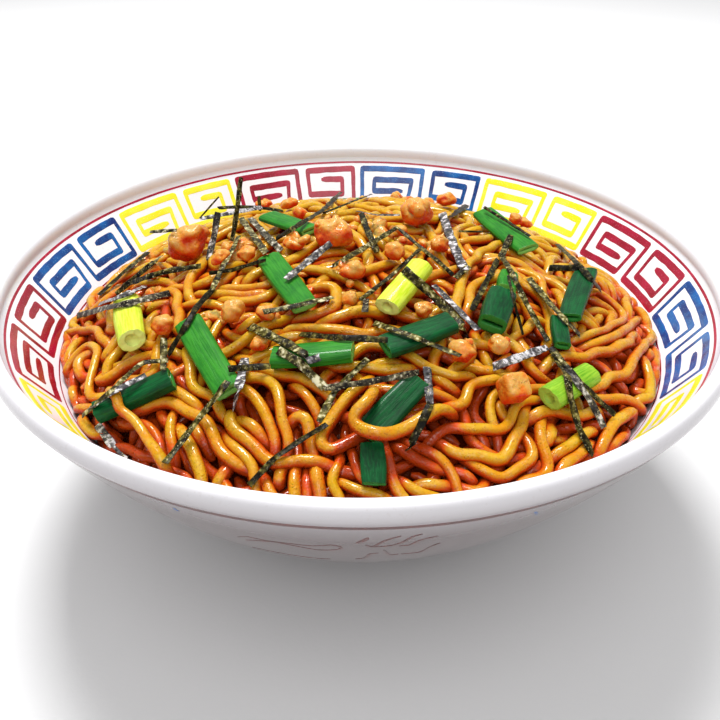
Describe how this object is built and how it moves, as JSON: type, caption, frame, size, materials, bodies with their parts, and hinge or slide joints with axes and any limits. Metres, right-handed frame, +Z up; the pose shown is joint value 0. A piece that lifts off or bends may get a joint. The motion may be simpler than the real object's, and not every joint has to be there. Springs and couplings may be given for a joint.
{
  "type": "mazesoba noodle bowl",
  "caption": "Mazesoba: thick sauced noodles heaped in a footed porcelain bowl, topped with cut green onion and chunks of seasoned minced meat.",
  "frame": {"origin": "middle of the foot ring's underside, on the surface that the bowl stands on", "axes": "+Z up, -Y towards the diner and the camera, +X to the diner's right"},
  "size_m": [0.2198, 0.2198, 0.0987],
  "materials": {
    "bowl_glaze": "white glazed porcelain with a painted key border",
    "sauced_noodles": "wet boiled noodles coated with brown sauce",
    "onion_green": "wet green onion leaf, mid green",
    "onion_dark": "wet green onion leaf, dark green",
    "onion_pale": "wet green onion stem, yellow green",
    "minced_meat": "seasoned minced meat, glazed with sauce"
  },
  "bodies": {
    "root": {"bowl": "bowl_glaze", "meat_back_left": "minced_meat", "meat_back_middle": "minced_meat", "meat_back_right": "minced_meat", "meat_crumb_back": "minced_meat", "meat_crumb_far_left": "minced_meat", "meat_crumb_front": "minced_meat", "meat_crumb_left": "minced_meat", "meat_crumb_middle": "minced_meat", "meat_crumb_right": "minced_meat", "meat_cube_right": "minced_meat", "meat_far_left": "minced_meat", "meat_far_middle": "minced_meat", "meat_far_right": "minced_meat", "meat_flake_right": "minced_meat", "meat_flat_back": "minced_meat", "meat_knot_back": "minced_meat", "meat_knot_left": "minced_meat", "meat_knot_middle": "minced_meat", "meat_left": "minced_meat", "meat_lump_left": "minced_meat", "meat_lump_right": "minced_meat", "meat_middle": "minced_meat", "meat_middle_right": "minced_meat", "meat_pale_back": "minced_meat", "noodle_heap": "sauced_noodles", "onion_chip_front": "onion_dark", "onion_chip_right": "onion_dark", "onion_dark_middle": "onion_dark", "onion_far_left": "onion_green", "onion_far_right": "onion_dark", "onion_flat_back": "onion_green", "onion_front_bar": "onion_green", "onion_leaf_front": "onion_dark", "onion_left_edge": "onion_dark", "onion_long_left": "onion_green", "onion_long_middle": "onion_green", "onion_long_right": "onion_dark", "onion_pale_left": "onion_pale", "onion_pale_middle": "onion_pale", "onion_pale_right": "onion_pale", "onion_strip_back": "onion_green", "onion_stub_right": "onion_dark", "onion_tip_right": "onion_green"}
  },
  "joints": []
}
